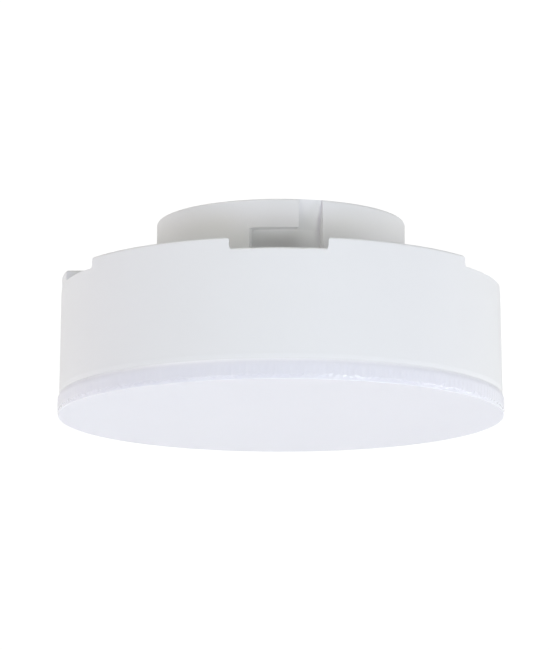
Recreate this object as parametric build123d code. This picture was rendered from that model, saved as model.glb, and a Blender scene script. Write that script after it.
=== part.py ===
from build123d import *
import os
from math import cos, degrees, pi, sin

# Disc lamp with a two-pin twist-lock cap, in millimetres.
# The origin is the centre of the flat light face, +Z points from the face towards the cap, and -Y is
# the front. Angles around the lamp are measured from the front towards +X.

# Light face: an opal cup with a fluted band, which snaps into the mouth of the housing
lamp_diameter = 75.0
band_height = 3.4
face_thickness = 1.5
face_edge_radius = 0.15
flute_count = 200
flute_depth = 0.12
flute_foot = 0.6
spigot_height = 2.8
spigot_thickness = 1.3
spigot_clearance = 0.12
bead_count = 6
bead_span = 16.0
bead_reach = 0.4
bead_height = 1.0
bead_drop = 1.0
bead_clearance = 0.1

# Housing wall, deck and castellated rim
band_step = 0.25
wall = 1.8
wall_draft = 0.25
mouth_bevel_height = 0.8
mouth_bevel_depth = 0.08
deck_height = 21.5
deck_thickness = 1.8
rim_height = 1.8
rim_width = 4.0
rim_edge_radius = 0.4
notch_width = 16.0
notch_shoulder_radius = 0.6
notch_foot_radius = 1.9
side_notch_width = 10.5
long_notch_width = 26.1
tab_offset = 5.0
tab_length = 5.0

# Cap: the round hollow that enters the holder, with an L-shaped slot at the front and at the back
cap_diameter = 42.0
cap_height = 11.5
cap_wall = 1.8
cap_draft = 0.1
cap_edge_radius = 0.4
slot_depth = 2.0
slot_lip_depth = 0.4
slot_entry_width = 4.1
slot_entry_angle = 14.2
slot_end_angle = -13.8
slot_shelf = 4.8

# Contact pins: a mushroom head on a neck, a collar on the deck, a riveted flange under it and a tail
pin_spacing = 53.0
pin_head_diameter = 5.0
pin_head_thickness = 1.8
pin_head_edge_radius = 0.5
pin_neck_diameter = 3.0
pin_neck_length = 3.0
pin_flange_diameter = 4.4
pin_flange_thickness = 0.6
pin_shank_diameter = 3.2
pin_tail_diameter = 2.6
pin_tail_length = 1.6
pin_hole_clearance = 0.05

# LED board and its packages, facing the light face
led_board_height = 7.0
led_board_thickness = 1.2
led_board_margin = 2.6
led_length = 3.5
led_width = 2.8
led_height = 0.8
led_window_margin = 0.4
led_window_depth = 0.15
led_inner_count = 6
led_inner_radius = 13.0
led_outer_count = 12
led_outer_radius = 21.5

# Heat sink: a pressed dish with its skirt up inside the wall
heat_sink_thickness = 1.3
heat_sink_skirt = 7.0
heat_sink_bend_radius = 1.2
heat_sink_clearance = 0.2
wire_opening_length = 10.0
wire_opening_width = 4.0

# Screws through the board and the heat sink into posts of the housing
screw_count = 3
screw_diameter = 2.6
screw_head_diameter = 4.8
screw_head_height = 1.7
screw_head_edge_radius = 0.6
screw_grip = 5.5
screw_tip_gap = 0.8
screw_hole_clearance = 0.2
screw_pilot_clearance = 0.03
screw_recess_width = 0.7
screw_recess_length = 2.8
screw_recess_depth = 0.8
post_diameter = 6.0

# Driver board, seated on the deck's underside around the hollow of the cap and held by clips
driver_board_thickness = 1.6
driver_seat = 1.6
clip_count = 3
clip_angle = 30.0
clip_width = 5.0
clip_thickness = 1.3
clip_reach = 0.7
clip_nose = 1.4
clip_clearance = 0.1

# Parts on the driver board: upright ones in the hollow, flat ones on the underside
roof_headroom = 1.0
lead_diameter = 0.6
lead_hole_clearance = 0.15
lead_stub = 1.0
bulk_capacitor_diameter = 8.0
bulk_capacitor_pitch = 3.5
bulk_capacitor_place = (-8.5, 6.0)
output_capacitor_diameter = 6.3
output_capacitor_height = 7.5
output_capacitor_pitch = 2.5
output_capacitor_place = (9.2, -6.4)
can_edge_radius = 0.5
can_groove_height = 1.4
can_groove_depth = 0.35
inductor_diameter = 8.0
inductor_height = 8.0
inductor_flange = 1.2
inductor_waist = 0.6
inductor_pitch = 5.0
inductor_place = (8.2, 6.4)
film_capacitor_size = (7.2, 3.6, 6.5)
film_capacitor_edge_radius = 0.5
film_capacitor_pitch = 5.0
film_capacitor_place = (-7.4, -6.0)
resistor_diameter = 2.6
resistor_length = 7.0
resistor_waist_depth = 0.25
resistor_cap_length = 1.5
resistor_pitch = 10.0
resistor_lift = 0.4
resistor_place = (0.0, -12.6)
bridge_size = (4.7, 3.9, 2.4)
bridge_lead_pitch = 2.5
bridge_place = (-8.0, 0.0)
chip_size = (4.9, 3.9, 1.5)
chip_lead_pitch = 1.27
chip_place = (8.0, 0.0)
package_lead_width = 0.5
package_lead_thickness = 0.2
package_lead_reach = 1.0
package_edge = 0.3
diode_size = (4.3, 2.6, 2.1)
diode_tab_width = 1.4
diode_tab_length = 1.2
diode_place = (0.0, 9.5)
chip_resistor_size = (2.0, 1.25, 0.55)
chip_resistor_cap = 0.35
chip_resistor_gap = 1.4
chip_resistor_rows = 3
chip_resistor_columns = 2
chip_resistor_place = (0.0, -7.0)

# Wires: insulated, with a bare end in each pin and through the driver board
wire_diameter = 1.2
wire_core_diameter = 0.6
wire_core_clearance = 0.1
wire_bend_radius = 3.6
wire_loop_clearance = 1.6
pin_wire_inset = 4.4
pin_wire_core_length = 1.5
led_wire_offset = 1.6
led_wire_run = 6.5
led_wire_bend_radius = 1.5
led_wire_gap = 0.05

# Sizes that follow from the driving dimensions
face_radius = lamp_diameter / 2
mouth_radius = face_radius - band_step
rim_top = deck_height + rim_height
notch_foot = deck_height - 3 * rim_edge_radius
deck_under = deck_height - deck_thickness
cap_radius = cap_diameter / 2
cap_top = deck_height + cap_height
hollow_radius = cap_radius - cap_wall
hollow_roof = cap_top - cap_wall
slot_floor_radius = cap_radius - slot_depth
slot_turn_top = cap_top - slot_shelf
spigot_radius = mouth_radius - wall - spigot_clearance
spigot_top = band_height + spigot_height
bead_middle = spigot_top - bead_drop
led_board_top = led_board_height + led_board_thickness
heat_sink_top = led_board_top + heat_sink_thickness
heat_sink_rim = led_board_top + heat_sink_skirt
driver_board_radius = hollow_radius + driver_seat
driver_board_top = deck_under
driver_board_under = driver_board_top - driver_board_thickness
pin_tail_end = deck_under - pin_flange_thickness - pin_tail_length


def wall_outer(height):
    """Outer radius of the drafted housing wall at a height."""
    return mouth_radius - wall_draft * (height - band_height) / (rim_top - band_height)


def wall_inner(height):
    """Inner radius of the drafted housing wall at a height."""
    return wall_outer(height) - wall


rim_outer_radius = wall_outer(rim_top)
rim_inner_radius = rim_outer_radius - rim_width
heat_sink_radius = wall_inner(heat_sink_rim) - heat_sink_clearance
led_board_radius = heat_sink_radius - led_board_margin
screw_circle_radius = (driver_board_radius + heat_sink_radius - heat_sink_thickness) / 2
pin_wire_radius = driver_board_radius - pin_wire_inset


def section(*corners):
    """Half section on the XZ plane, from (radius, height, corner radius) triples."""
    points = [(radius, height) for radius, height, corner in corners]
    corner_radii = [corner for radius, height, corner in corners]
    return Plane.XZ * make_face(FilletPolyline(*points, radius=corner_radii, close=True))


def turned(*corners):
    """Solid of revolution about Z, from (radius, height, corner radius) triples."""
    return revolve(section(*corners), Axis.Z)


def disc(radius, low, high):
    """Plain cylinder about Z between two heights."""
    return extrude(Pos(0, 0, low) * Circle(radius), high - low)


def sector(inner, outer, start, end, low, high):
    """Block of a ring between two angles and two heights."""
    outer_arc = CenterArc((0, 0), outer, start - 90, end - start)
    inner_arc = CenterArc((0, 0), inner, start - 90, end - start)
    sides = [Line(outer_arc @ 0, inner_arc @ 0), Line(outer_arc @ 1, inner_arc @ 1)]
    return extrude(Pos(0, 0, low) * make_face([outer_arc, inner_arc, *sides]), high - low)


def around(count, radius, start=90.0):
    """Evenly spaced places on a circle about Z, the first at a polar angle."""
    return PolarLocations(radius, count, start_angle=start)


def group(solids):
    """Separate solids that share one node."""
    return Compound(children=list(solids))


def make_diffuser():
    """Opal cup: flat face, band with vertical flutes, spigot and snap beads."""
    step = pi / flute_count
    flutes = [
        (radius * cos(angle), radius * sin(angle))
        for index in range(flute_count)
        for radius, angle in (
            (face_radius, 2 * index * step),
            (face_radius - flute_depth, (2 * index + 1) * step),
        )
    ]
    face = turned(
        (0, 0, 0),
        (face_radius, 0, face_edge_radius),
        (face_radius, flute_foot, 0),
        (0, flute_foot, 0),
    )
    flute_face = make_face(Polyline(*flutes, close=True))
    band = extrude(Pos(0, 0, flute_foot) * flute_face, band_height - flute_foot)
    spigot = disc(spigot_radius, band_height, spigot_top)
    inside = disc(spigot_radius - spigot_thickness, face_thickness, spigot_top)
    bead_section = Plane.XZ * make_face(
        Polyline(
            (spigot_radius - spigot_thickness / 2, bead_middle - bead_height / 2),
            (spigot_radius, bead_middle - bead_height / 2),
            (spigot_radius + bead_reach, bead_middle),
            (spigot_radius, bead_middle + bead_height / 2),
            (spigot_radius - spigot_thickness / 2, bead_middle + bead_height / 2),
            close=True,
        )
    )
    bead = revolve(bead_section, Axis.Z, bead_span)
    beads = [Rot(0, 0, index * 360 / bead_count) * bead for index in range(bead_count)]
    return face + band + spigot - inside + beads


def make_notch(width):
    """Cutter for a notch in the rim: rounded shoulders, walls that flare at the foot, a soft outer edge."""
    half = width / 2
    shoulder = half + 2 * notch_shoulder_radius
    above = rim_top + rim_height
    corners = [notch_shoulder_radius, notch_foot_radius, notch_foot_radius, notch_shoulder_radius]
    outline = FilletPolyline(
        (-shoulder, rim_top),
        (-half, rim_top),
        (-half, notch_foot),
        (half, notch_foot),
        (half, rim_top),
        (shoulder, rim_top),
        (shoulder, above),
        (-shoulder, above),
        radius=[0, *corners, 0, 0, 0],
        close=True,
    )
    deck_radius = wall_outer(deck_height)
    edge_slant = rim_edge_radius / 6
    edge_foot = deck_height - 2 * rim_edge_radius
    inner_reach = rim_inner_radius - rim_width
    outer_reach = face_radius + rim_width
    room = turned(
        (inner_reach, deck_height, 0),
        (deck_radius - edge_slant, deck_height, rim_edge_radius),
        (deck_radius + edge_slant, edge_foot, 0),
        (outer_reach, edge_foot, 0),
        (outer_reach, above, 0),
        (inner_reach, above, 0),
    )
    return extrude(Plane.XZ * make_face(outline), outer_reach) & room


def make_rim_notches():
    """All cutters of the rim: front and back, and between the long stretches and the tabs."""
    front = make_notch(notch_width)
    beside_place = tab_offset + tab_length + side_notch_width / 2
    beside_tab = Rot(0, 0, 90) * Pos(beside_place, 0, 0) * make_notch(side_notch_width)
    past_place = tab_offset - long_notch_width / 2
    past_tab = Rot(0, 0, 90) * Pos(past_place, 0, 0) * make_notch(long_notch_width)
    cutters = [front, beside_tab, past_tab]
    return cutters + [Rot(0, 0, 180) * cutter for cutter in cutters]


def make_slot():
    """Cutter for the front L-shaped slot: an entry that deepens from the top, turning under the shelf."""
    reach = cap_radius + slot_depth
    above = cap_top + slot_shelf
    ramp = slot_depth - slot_lip_depth
    room = turned(
        (slot_floor_radius, deck_height, 0),
        (reach, deck_height, 0),
        (reach, above, 0),
        (slot_floor_radius + 2 * ramp, above, 0),
        (slot_floor_radius, slot_turn_top, 0),
    )
    strip = Pos(0, -cap_radius, deck_height) * Rectangle(slot_entry_width, 3 * slot_depth)
    entry = Rot(0, 0, slot_entry_angle) * extrude(strip, above - deck_height) & room
    turn = sector(slot_floor_radius, reach, slot_end_angle, slot_entry_angle, deck_height, slot_turn_top)
    return entry + turn


def make_slot_back():
    """Wall behind the front slot, standing in the hollow of the cap."""
    side = degrees((slot_entry_width / 2 + cap_wall) / slot_floor_radius)
    end_side = degrees(cap_wall / slot_floor_radius)
    return sector(
        slot_floor_radius - cap_wall,
        hollow_radius + cap_wall / 2,
        slot_end_angle - end_side,
        slot_entry_angle + side,
        deck_under,
        hollow_roof + cap_wall / 2,
    )


def make_clip():
    """Snap arm for the driver board, on the XZ plane at +X, with a nose under the board."""
    inner = driver_board_radius + clip_clearance
    catch = driver_board_under - clip_clearance
    outline = Polyline(
        (inner, deck_height - deck_thickness / 2),
        (inner + clip_thickness, deck_height - deck_thickness / 2),
        (inner + clip_thickness, catch - clip_nose),
        (inner, catch - clip_nose),
        (inner - clip_reach, catch - clip_nose / 3),
        (inner - clip_reach, catch),
        (inner, catch),
        close=True,
    )
    return extrude(Plane.XZ * make_face(outline), clip_width / 2, both=True)


def make_shell():
    """Drafted wall, castellated rim, deck and cap, turned as one shell."""
    bevel_top = band_height + mouth_bevel_height
    plain = turned(
        (mouth_radius - mouth_bevel_depth, band_height, 0),
        (wall_outer(bevel_top), bevel_top, 0),
        (rim_outer_radius, rim_top, rim_edge_radius),
        (rim_inner_radius, rim_top, 0),
        (rim_inner_radius, deck_height, 0),
        (cap_radius + cap_draft, deck_height, 0),
        (cap_radius, slot_turn_top, 0),
        (cap_radius, cap_top, cap_edge_radius),
        (0, cap_top, 0),
        (0, hollow_roof, 0),
        (hollow_radius, hollow_roof, 0),
        (hollow_radius, deck_under, 0),
        (wall_inner(deck_under), deck_under, 0),
        (wall_inner(band_height), band_height, 0),
    )
    return plain - make_rim_notches()


def make_housing():
    """White moulding: the shell with the groove for the light face, the slots, posts and clips."""
    groove_outer = spigot_radius + bead_reach + bead_clearance
    groove_half = bead_height / 2 + bead_clearance
    groove = turned(
        (spigot_radius - bead_clearance, bead_middle - groove_half, 0),
        (spigot_radius + bead_clearance, bead_middle - groove_half, 0),
        (groove_outer, bead_middle, 0),
        (spigot_radius + bead_clearance, bead_middle + groove_half, 0),
        (spigot_radius - bead_clearance, bead_middle + groove_half, 0),
    )
    slot_backs = [Rot(0, 0, turn) * make_slot_back() for turn in (0, 180)]
    slots = [Rot(0, 0, turn) * make_slot() for turn in (0, 180)]
    post = disc(post_diameter / 2, heat_sink_top, deck_height - deck_thickness / 2)
    pilot = disc(
        screw_diameter / 2 + screw_pilot_clearance, heat_sink_top, heat_sink_top + screw_grip + screw_tip_gap
    )
    posts = around(screw_count, screw_circle_radius) * post
    pilots = around(screw_count, screw_circle_radius) * pilot
    pin_hole = disc(pin_shank_diameter / 2 + pin_hole_clearance, deck_under, deck_height)
    pin_holes = around(2, pin_spacing / 2, 0) * pin_hole
    clips = [Rot(0, 0, clip_angle + index * 360 / clip_count) * make_clip() for index in range(clip_count)]
    return make_shell() + slot_backs + posts + clips - groove - slots - pilots - pin_holes


def make_contact_pin():
    """Turned pin at the origin of the deck: head, neck, collar, shank, riveted flange and hollow tail."""
    neck_top = pin_flange_thickness + pin_neck_length
    head_top = neck_top + pin_head_thickness
    flange_under = -deck_thickness - pin_flange_thickness
    tail_end = flange_under - pin_tail_length
    bore_radius = (wire_core_diameter + wire_core_clearance) / 2
    return Pos(0, 0, deck_height) * turned(
        (0, head_top, 0),
        (pin_head_diameter / 2, head_top, pin_head_edge_radius),
        (pin_head_diameter / 2, neck_top, 0),
        (pin_neck_diameter / 2, neck_top, 0),
        (pin_neck_diameter / 2, pin_flange_thickness, 0),
        (pin_flange_diameter / 2, pin_flange_thickness, 0),
        (pin_flange_diameter / 2, 0, 0),
        (pin_shank_diameter / 2, 0, 0),
        (pin_shank_diameter / 2, -deck_thickness, 0),
        (pin_flange_diameter / 2, -deck_thickness, 0),
        (pin_flange_diameter / 2, flange_under, 0),
        (pin_tail_diameter / 2, flange_under, 0),
        (pin_tail_diameter / 2, tail_end, 0),
        (bore_radius, tail_end, 0),
        (bore_radius, tail_end + pin_wire_core_length, 0),
        (0, tail_end + pin_wire_core_length, 0),
    )


def make_wire_opening(low, high):
    """Long hole at the centre for the two wires of the LED board."""
    return extrude(Pos(0, 0, low) * SlotOverall(wire_opening_length, wire_opening_width), high - low)


def make_screw_holes(low, high):
    """Clearance holes for the screws."""
    hole = disc(screw_diameter / 2 + screw_hole_clearance, low, high)
    return around(screw_count, screw_circle_radius) * hole


def make_heat_sink():
    """Pressed dish: flat floor, rounded bend and upright skirt."""
    inner = heat_sink_radius - heat_sink_thickness
    dish = turned(
        (0, led_board_top, 0),
        (heat_sink_radius, led_board_top, heat_sink_bend_radius + heat_sink_thickness),
        (heat_sink_radius, heat_sink_rim, 0),
        (inner, heat_sink_rim, 0),
        (inner, heat_sink_top, heat_sink_bend_radius),
        (0, heat_sink_top, 0),
    )
    opening = make_wire_opening(led_board_top, heat_sink_top)
    return dish - opening - make_screw_holes(led_board_top, heat_sink_top)


def make_led_board():
    """Round board with a wire opening and screw holes."""
    board = disc(led_board_radius, led_board_height, led_board_top)
    opening = make_wire_opening(led_board_height, led_board_top)
    return board - opening - make_screw_holes(led_board_height, led_board_top)


def make_leds():
    """Flat packages in rings under the board, each with a shallow window, set between the screws."""
    body = Box(led_length, led_width, led_height, align=(Align.CENTER, Align.CENTER, Align.MAX))
    window = Pos(0, 0, -led_height) * Box(
        led_length - 2 * led_window_margin,
        led_width - 2 * led_window_margin,
        led_window_depth,
        align=(Align.CENTER, Align.CENTER, Align.MIN),
    )
    package = Pos(0, 0, led_board_height) * (body - window)
    inner_ring = around(led_inner_count, led_inner_radius, 90 + 180 / led_inner_count)
    outer_ring = around(led_outer_count, led_outer_radius, 90 + 180 / led_outer_count)
    return group(place * package for place in [*inner_ring, *outer_ring])


def make_led_board_screws():
    """Pan-head screws with a cross recess, driven up through board and heat sink."""
    head_low = led_board_height - screw_head_height
    screw = turned(
        (0, head_low, 0),
        (screw_head_diameter / 2, head_low, screw_head_edge_radius),
        (screw_head_diameter / 2, led_board_height, 0),
        (screw_diameter / 2, led_board_height, 0),
        (screw_diameter / 2, heat_sink_top + screw_grip, screw_diameter / 4),
        (0, heat_sink_top + screw_grip, 0),
    )
    blade = Pos(0, 0, head_low) * Box(
        screw_recess_length, screw_recess_width, 2 * screw_recess_depth
    )
    screw = screw - blade - Rot(0, 0, 90) * blade
    return group(place * screw for place in around(screw_count, screw_circle_radius))


def lead_pair(place, pitch):
    """Places of the two leads of an upright part, side by side along X."""
    return [(place[0] - pitch / 2, place[1]), (place[0] + pitch / 2, place[1])]


def make_leads(places, top):
    """Straight leads from a height down through the driver board."""
    low = driver_board_under - lead_stub
    return [Pos(x, y, 0) * disc(lead_diameter / 2, low, top) for x, y in places]


def make_can(place, diameter, height, pitch):
    """Electrolytic capacitor: can with a rolled groove near its foot, on two leads."""
    radius = diameter / 2
    waist = radius - can_groove_depth
    can = turned(
        (0, 0, 0),
        (radius, 0, can_edge_radius),
        (radius, can_groove_height - can_groove_depth, 0),
        (waist, can_groove_height, 0),
        (radius, can_groove_height + can_groove_depth, 0),
        (radius, height, can_edge_radius),
        (0, height, 0),
    )
    leads = make_leads(lead_pair(place, pitch), driver_board_top + can_edge_radius)
    return Pos(place[0], place[1], driver_board_top) * can + leads


def make_bulk_capacitor():
    """Mains capacitor, as tall as the hollow of the cap allows."""
    height = hollow_roof - roof_headroom - driver_board_top
    return make_can(bulk_capacitor_place, bulk_capacitor_diameter, height, bulk_capacitor_pitch)


def make_output_capacitor():
    """Smoothing capacitor of the LED string."""
    return make_can(
        output_capacitor_place, output_capacitor_diameter, output_capacitor_height, output_capacitor_pitch
    )


def make_inductor():
    """Drum core with its winding between two flanges, on two leads."""
    radius = inductor_diameter / 2
    drum = turned(
        (0, 0, 0),
        (radius, 0, 0),
        (radius, inductor_flange, 0),
        (radius - inductor_waist, inductor_flange, 0),
        (radius - inductor_waist, inductor_height - inductor_flange, 0),
        (radius, inductor_height - inductor_flange, 0),
        (radius, inductor_height, 0),
        (0, inductor_height, 0),
    )
    leads = make_leads(lead_pair(inductor_place, inductor_pitch), driver_board_top + inductor_flange / 2)
    return Pos(inductor_place[0], inductor_place[1], driver_board_top) * drum + leads


def make_film_capacitor():
    """Dipped box on two leads."""
    length, width, height = film_capacitor_size
    body = extrude(RectangleRounded(length, width, film_capacitor_edge_radius), height)
    body = fillet(body.faces().sort_by(Axis.Z)[-1].edges(), film_capacitor_edge_radius)
    leads = make_leads(lead_pair(film_capacitor_place, film_capacitor_pitch), driver_board_top + height / 2)
    return Pos(film_capacitor_place[0], film_capacitor_place[1], driver_board_top) * body + leads


def make_fusible_resistor():
    """Axial resistor lying along X, its leads bent down through the board."""
    radius = resistor_diameter / 2
    waist = radius - resistor_waist_depth
    half = resistor_length / 2
    neck = half - resistor_cap_length
    body = turned(
        (0, -half, 0),
        (radius, -half, resistor_waist_depth),
        (radius, -neck, 0),
        (waist, -neck + resistor_waist_depth, 0),
        (waist, neck - resistor_waist_depth, 0),
        (radius, neck, 0),
        (radius, half, resistor_waist_depth),
        (0, half, 0),
    )
    axis_height = driver_board_top + resistor_lift + radius
    x, y = resistor_place
    reach = resistor_pitch / 2
    low = driver_board_under - lead_stub
    lead_path = FilletPolyline(
        (-reach, 0, low), (-reach, 0, axis_height), (reach, 0, axis_height), (reach, 0, low),
        radius=2 * lead_diameter,
    )
    lead = sweep(Pos(-reach, 0, low) * Circle(lead_diameter / 2), lead_path)
    return Pos(x, y, 0) * (Pos(0, 0, axis_height) * Rot(0, 90, 0) * body + lead)


def under_board(place, solid):
    """Turn a flat part over and set it on the driver board's underside."""
    return Pos(place[0], place[1], driver_board_under) * Rot(180, 0, 0) * solid


def make_package(size, leads_per_side, pitch):
    """Moulded package with gull-wing leads along its two long sides, standing on z = 0."""
    length, width, height = size
    lift = package_lead_thickness
    body = Pos(0, 0, lift) * extrude(Rectangle(length, width), height - lift)
    body = chamfer(body.faces().sort_by(Axis.Z)[-1].edges(), package_edge)
    half = width / 2
    knee = half + package_lead_reach / 3
    exit_height = height / 2
    thickness = package_lead_thickness
    outline = Polyline(
        (half - thickness, exit_height),
        (knee + thickness, exit_height),
        (knee + thickness, thickness),
        (half + package_lead_reach, thickness),
        (half + package_lead_reach, 0),
        (knee, 0),
        (knee, exit_height - thickness),
        (half - thickness, exit_height - thickness),
        close=True,
    )
    lead = extrude(Plane.YZ * make_face(outline), package_lead_width / 2, both=True)
    row = [
        Pos((index - (leads_per_side - 1) / 2) * pitch, 0, 0) * lead for index in range(leads_per_side)
    ]
    return body + row + [Rot(0, 0, 180) * item for item in row]


def make_bridge_rectifier():
    """Four-lead rectifier on the underside of the driver board."""
    return under_board(bridge_place, make_package(bridge_size, 2, bridge_lead_pitch))


def make_driver_chip():
    """Eight-lead controller on the underside of the driver board."""
    return under_board(chip_place, make_package(chip_size, 4, chip_lead_pitch))


def make_freewheel_diode():
    """Block diode with a folded tab under each end."""
    length, width, height = diode_size
    lift = package_lead_thickness
    body = Pos(0, 0, lift) * extrude(Rectangle(length, width), height - lift)
    body = chamfer(body.faces().sort_by(Axis.Z)[-1].edges(), package_edge)
    tab_height = height / 2
    tab_foot = Box(diode_tab_length, diode_tab_width, lift, align=(Align.MIN, Align.CENTER, Align.MIN))
    tab_side = Box(lift, diode_tab_width, tab_height, align=(Align.MAX, Align.CENTER, Align.MIN))
    tab = Pos(-length / 2, 0, 0) * (tab_foot + tab_side)
    return under_board(diode_place, body + tab + Rot(0, 0, 180) * tab)


def make_chip_resistors():
    """Small ceramic blocks with thicker metal end caps, in a grid on the underside."""
    length, width, height = chip_resistor_size
    base = (Align.CENTER, Align.CENTER, Align.MIN)
    cap_step = chip_resistor_cap / 5
    block = Pos(0, 0, cap_step) * Box(length, width, height - 2 * cap_step, align=base)
    cap = Box(chip_resistor_cap, width, height, align=(Align.MIN, Align.CENTER, Align.MIN))
    cap = Pos(-length / 2, 0, 0) * cap
    chip = block + cap + Rot(0, 0, 180) * cap
    pitch_x = length + chip_resistor_gap
    pitch_y = width + chip_resistor_gap
    places = GridLocations(pitch_x, pitch_y, chip_resistor_columns, chip_resistor_rows)
    return group(under_board(chip_resistor_place, place * chip) for place in places)


def make_driver_board():
    """Round circuit board with holes for the leads and for the wires' bare ends."""
    board = disc(driver_board_radius, driver_board_under, driver_board_top)
    lead_places = [
        *lead_pair(bulk_capacitor_place, bulk_capacitor_pitch),
        *lead_pair(output_capacitor_place, output_capacitor_pitch),
        *lead_pair(inductor_place, inductor_pitch),
        *lead_pair(film_capacitor_place, film_capacitor_pitch),
        *lead_pair(resistor_place, resistor_pitch),
    ]
    wire_places = [(turn * offset, 0) for offset in (pin_wire_radius, led_wire_offset) for turn in (1, -1)]
    lead_hole = disc(lead_diameter / 2 + lead_hole_clearance, driver_board_under, driver_board_top)
    core_hole = disc((wire_core_diameter + wire_core_clearance) / 2, driver_board_under, driver_board_top)
    lead_holes = [Pos(x, y, 0) * lead_hole for x, y in lead_places]
    core_holes = [Pos(x, y, 0) * core_hole for x, y in wire_places]
    return board - lead_holes - core_holes


def make_wire(path, core_path):
    """Insulated wire along a path, with a bare core that runs on along its own longer path."""
    start_plane = Plane(origin=path @ 0, z_dir=path % 0)
    core_plane = Plane(origin=core_path @ 0, z_dir=core_path % 0)
    insulation = sweep(start_plane * Circle(wire_diameter / 2), path)
    core = sweep(core_plane * Circle(wire_core_diameter / 2), core_path)
    return insulation + core


def make_pin_wire():
    """Wire of the right pin: out of its tail, round a loop and up to the driver board."""
    pin_x = pin_spacing / 2
    loop_height = heat_sink_top + wire_loop_clearance + wire_diameter / 2
    drop = min(pin_tail_end, driver_board_under) - loop_height
    bend = min(wire_bend_radius, 0.9 * drop, 0.45 * (pin_x - pin_wire_radius))
    loop = [(pin_x, 0, loop_height), (pin_wire_radius, 0, loop_height)]
    path = FilletPolyline(
        (pin_x, 0, pin_tail_end), *loop, (pin_wire_radius, 0, driver_board_under), radius=bend
    )
    core_path = FilletPolyline(
        (pin_x, 0, pin_tail_end + pin_wire_core_length),
        *loop,
        (pin_wire_radius, 0, driver_board_top + lead_stub),
        radius=bend,
    )
    return make_wire(path, core_path)


def make_led_wire():
    """Right wire of the LED board: down through the heat sink and flat along the board's lamp side."""
    run_height = led_board_height - wire_diameter / 2 - led_wire_gap
    turn = (led_wire_offset, 0, run_height)
    end = led_wire_offset + led_wire_run
    path = FilletPolyline(
        (led_wire_offset, 0, driver_board_under), turn, (end - wire_diameter, 0, run_height),
        radius=led_wire_bend_radius,
    )
    core_path = FilletPolyline(
        (led_wire_offset, 0, driver_board_top + lead_stub), turn, (end, 0, run_height),
        radius=led_wire_bend_radius,
    )
    return make_wire(path, core_path)


half_turn = Rot(0, 0, 180)
contact_pin_right = Pos(pin_spacing / 2, 0, 0) * make_contact_pin()
pin_wire_right = make_pin_wire()
led_wire_plus = make_led_wire()

nodes = {
    "housing": make_housing(),
    "diffuser": make_diffuser(),
    "contact_pin_left": half_turn * contact_pin_right,
    "contact_pin_right": contact_pin_right,
    "heat_sink": make_heat_sink(),
    "led_board": make_led_board(),
    "leds": make_leds(),
    "led_board_screws": make_led_board_screws(),
    "driver_board": make_driver_board(),
    "bulk_capacitor": make_bulk_capacitor(),
    "output_capacitor": make_output_capacitor(),
    "film_capacitor": make_film_capacitor(),
    "inductor": make_inductor(),
    "fusible_resistor": make_fusible_resistor(),
    "bridge_rectifier": make_bridge_rectifier(),
    "driver_chip": make_driver_chip(),
    "freewheel_diode": make_freewheel_diode(),
    "chip_resistors": make_chip_resistors(),
    "pin_wire_left": half_turn * pin_wire_right,
    "pin_wire_right": pin_wire_right,
    "led_wire_plus": led_wire_plus,
    "led_wire_minus": half_turn * led_wire_plus,
}

os.makedirs("parts", exist_ok=True)
for name, solid in nodes.items():
    export_step(solid, f"parts/{name}.step")
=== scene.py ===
"""Disc lamp with a two-pin twist-lock cap: its light face, its finishes, soft studio light and the camera.

The lamp stands in its own frame, in metres: the origin is the centre of the flat light face, +Z points
from the face towards the cap, and -Y is the front. Sizes in the classes are millimetres unless a name
says otherwise, and the finishes read the lamp's own coordinates in millimetres.
"""

import logging
import math
from dataclasses import dataclass
from enum import Enum
from typing import Union

import bpy
import numpy as np
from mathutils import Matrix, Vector


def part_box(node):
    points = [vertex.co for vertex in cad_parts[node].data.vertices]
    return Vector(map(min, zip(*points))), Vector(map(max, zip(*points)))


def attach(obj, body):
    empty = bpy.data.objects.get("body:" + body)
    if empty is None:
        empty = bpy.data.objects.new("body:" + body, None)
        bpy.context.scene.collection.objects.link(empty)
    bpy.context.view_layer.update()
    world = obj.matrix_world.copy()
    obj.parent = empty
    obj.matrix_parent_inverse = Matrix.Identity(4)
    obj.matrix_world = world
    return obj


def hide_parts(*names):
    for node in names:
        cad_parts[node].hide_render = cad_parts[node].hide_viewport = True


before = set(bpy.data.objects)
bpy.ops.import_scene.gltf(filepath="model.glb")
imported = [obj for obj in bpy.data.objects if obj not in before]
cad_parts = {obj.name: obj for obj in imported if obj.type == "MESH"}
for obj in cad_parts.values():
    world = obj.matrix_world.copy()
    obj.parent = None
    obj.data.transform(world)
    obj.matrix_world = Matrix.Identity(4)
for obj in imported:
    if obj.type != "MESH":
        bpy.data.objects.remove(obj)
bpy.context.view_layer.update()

MM = 0.001
TOUCH = 1e-6
NOISE_MIDDLE = (0.3, 0.7)
LOG = logging.getLogger("disc_lamp")

Colour = tuple[float, float, float]
Pair = tuple[float, float]
Feed = Union[bpy.types.NodeSocket, float, tuple[float, ...]]
Socket = bpy.types.NodeSocket


def grey(level: float) -> Colour:
    """A neutral colour of one level."""
    return (level, level, level)


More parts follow.
